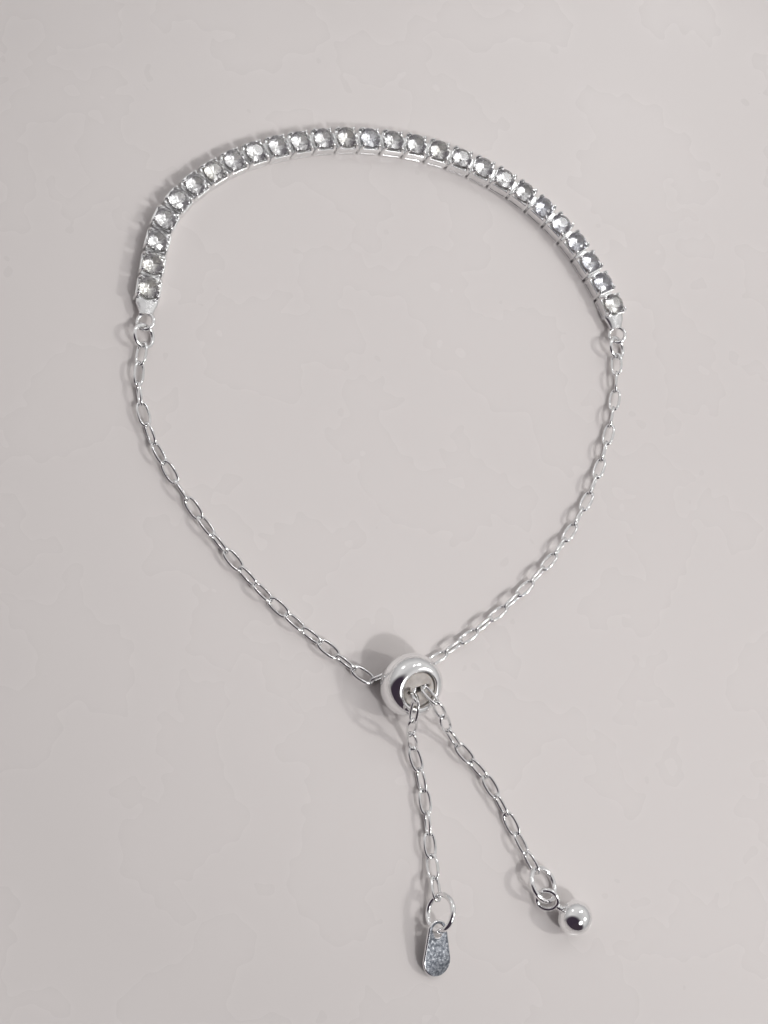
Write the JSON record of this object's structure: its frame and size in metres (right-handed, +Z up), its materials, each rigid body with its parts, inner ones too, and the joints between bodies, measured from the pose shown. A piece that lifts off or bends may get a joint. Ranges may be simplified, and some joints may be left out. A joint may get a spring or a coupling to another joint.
{
  "type": "tennis bracelet",
  "caption": "Half tennis bracelet: a row of round stones in square settings, closed by a cable chain through a sliding bead, with a tag and a ball on its tails.",
  "frame": {"origin": "under the middle of the whole piece's box, on the surface it lies on", "axes": "+Z up from the surface, +Y from the free tails to the row of stones, +X from the left end of the row to the right one"},
  "size_m": [0.0734, 0.118, 0.0078],
  "materials": {
    "bright_silver": "mirror polished",
    "brushed_silver": "finely brushed",
    "clear_crystal": "polished facets",
    "pale_silicone": "matt"
  },
  "bodies": {
    "root": {"stone_01": "clear_crystal", "stone_02": "clear_crystal", "stone_03": "clear_crystal", "stone_04": "clear_crystal", "stone_05": "clear_crystal", "stone_06": "clear_crystal", "stone_07": "clear_crystal", "stone_08": "clear_crystal", "stone_09": "clear_crystal", "stone_10": "clear_crystal", "stone_11": "clear_crystal", "stone_12": "clear_crystal", "stone_13": "clear_crystal", "stone_14": "clear_crystal", "stone_15": "clear_crystal", "stone_16": "clear_crystal", "stone_17": "clear_crystal", "stone_18": "clear_crystal", "stone_19": "clear_crystal", "stone_20": "clear_crystal", "stone_21": "clear_crystal", "stone_22": "clear_crystal", "stone_23": "clear_crystal", "stone_24": "clear_crystal", "stone_25": "clear_crystal", "stone_26": "clear_crystal", "stone_27": "clear_crystal", "settings_row": "bright_silver", "slider_bead": "bright_silver", "jump_ring_left": "bright_silver", "jump_ring_right": "bright_silver", "chain_left": "bright_silver", "chain_right": "bright_silver", "tail_ring_left": "bright_silver", "tail_ring_right": "bright_silver", "ball_charm": "bright_silver", "silicone_core": "pale_silicone", "teardrop_tag": "brushed_silver"}
  },
  "joints": []
}
